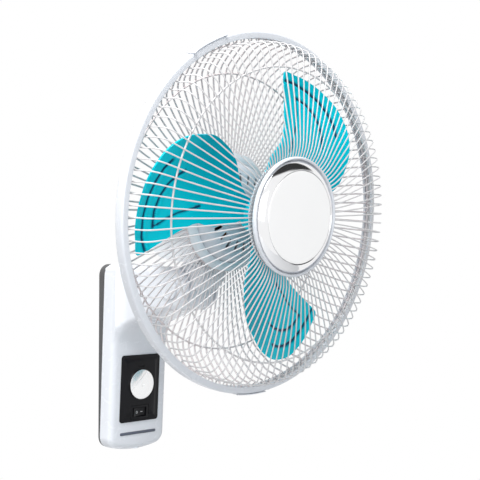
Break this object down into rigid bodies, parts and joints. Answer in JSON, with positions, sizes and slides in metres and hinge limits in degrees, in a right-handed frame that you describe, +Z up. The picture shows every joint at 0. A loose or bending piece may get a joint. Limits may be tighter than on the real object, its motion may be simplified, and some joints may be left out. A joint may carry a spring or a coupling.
{
  "type": "wall fan",
  "caption": "Wall fan with tilting arm, swinging guarded head, teal blades and a base with speed knob and swing switch.",
  "frame": {"origin": "centre of the wall bracket's back face, on the wall", "axes": "+Z up, -Y the way the fan faces, +X to the right seen from the front"},
  "size_m": [0.434, 0.3233, 0.5254],
  "materials": {
    "white_plastic": "glossy bluish white moulded plastic",
    "grey_plastic": "satin light grey moulded plastic",
    "dark_plastic": "matt dark grey moulded plastic",
    "black_gloss": "glossy near-black plastic",
    "teal_plastic": "glossy teal moulded plastic",
    "guard_paint": "white powder coat on steel wire",
    "pearl_disc": "pearl white plastic disc",
    "chrome_ring": "bright plated ring",
    "zinc_steel": "zinc plated steel",
    "copper_wire": "enamelled copper winding",
    "core_steel": "laminated core steel",
    "slate_bar": "slate grey plastic insert"
  },
  "bodies": {
    "base": {"wall_bracket": "zinc_steel", "back_plate": "dark_plastic", "base_shell": "white_plastic", "control_panel": "black_gloss", "speed_switch": "dark_plastic", "rocker_frame": "black_gloss", "trim_bar": "slate_bar", "capacitor": "grey_plastic", "terminal_block": "white_plastic", "cord_gland": "dark_plastic", "base_screw_0": "zinc_steel", "base_screw_1": "zinc_steel", "base_screw_2": "zinc_steel", "base_screw_3": "zinc_steel", "tilt_bolt_left": "zinc_steel", "tilt_bolt_right": "zinc_steel", "pivot_cap_left": "white_plastic", "pivot_cap_right": "white_plastic", "tilt_washer_left": "zinc_steel", "tilt_washer_right": "zinc_steel"},
    "knob": {"speed_knob": "white_plastic", "switch_shaft": "zinc_steel"},
    "rocker": {"rocker_button": "black_gloss"},
    "neck": {"neck_body": "white_plastic", "neck_lid": "white_plastic", "swing_motor": "zinc_steel"},
    "crank": {"swing_crank": "zinc_steel"},
    "link": {"swing_link": "zinc_steel"},
    "fan_head": {"swing_post": "core_steel", "motor_rear_cover": "white_plastic", "motor_front_cover": "grey_plastic", "stator_core": "core_steel", "winding_rear": "copper_wire", "winding_front": "copper_wire", "bearing_rear": "zinc_steel", "bearing_front": "zinc_steel", "rear_guard": "guard_paint", "guard_ring": "white_plastic", "front_guard": "guard_paint", "hoop": "white_plastic", "hoop_clip": "white_plastic", "hoop_clasp": "white_plastic", "cap_rim": "white_plastic", "cap_bevel": "chrome_ring", "cap_disc": "pearl_disc", "cap_backing": "white_plastic"},
    "rotor": {"motor_shaft": "zinc_steel", "rotor_core": "core_steel", "blade_rotor": "teal_plastic", "blade_nut": "white_plastic"}
  },
  "joints": [
    {"name": "tilt", "type": "hinge", "parent": "base", "child": "neck", "pos_m": [0, -0.127, 0.095], "axis": [1, 0, 0], "range_deg": [-20, 15]},
    {"name": "swing", "type": "hinge", "parent": "neck", "child": "fan_head", "pos_m": [0, -0.15879, 0.12686], "axis": [0, -0.0983, 0.9952], "range_deg": [-40, 40]},
    {"name": "crank_spin", "type": "hinge", "parent": "neck", "child": "crank", "pos_m": [0, -0.12865, 0.11175], "axis": [0, -0.0983, 0.9952], "continuous": true},
    {"name": "link_turn", "type": "hinge", "parent": "crank", "child": "link", "pos_m": [0.007, -0.12905, 0.11573], "axis": [0, -0.0983, 0.9952], "continuous": true},
    {"name": "blade_spin", "type": "hinge", "parent": "fan_head", "child": "rotor", "pos_m": [0, -0.262, 0.185], "axis": [0, -0.9952, -0.0983], "continuous": true},
    {"name": "speed_turn", "type": "hinge", "parent": "base", "child": "knob", "pos_m": [0, -0.02902, -0.03531], "axis": [0, 0.9985, 0.0549], "range_deg": [0, 135]},
    {"name": "rocker_tip", "type": "hinge", "parent": "base", "child": "rocker", "pos_m": [0, -0.02693, -0.07325], "axis": [0, -0.0549, 0.9985], "range_deg": [0, 14]}
  ],
  "couplings": [
    {"joint": "link_turn", "follows": "crank_spin", "ratio": -1}
  ]
}
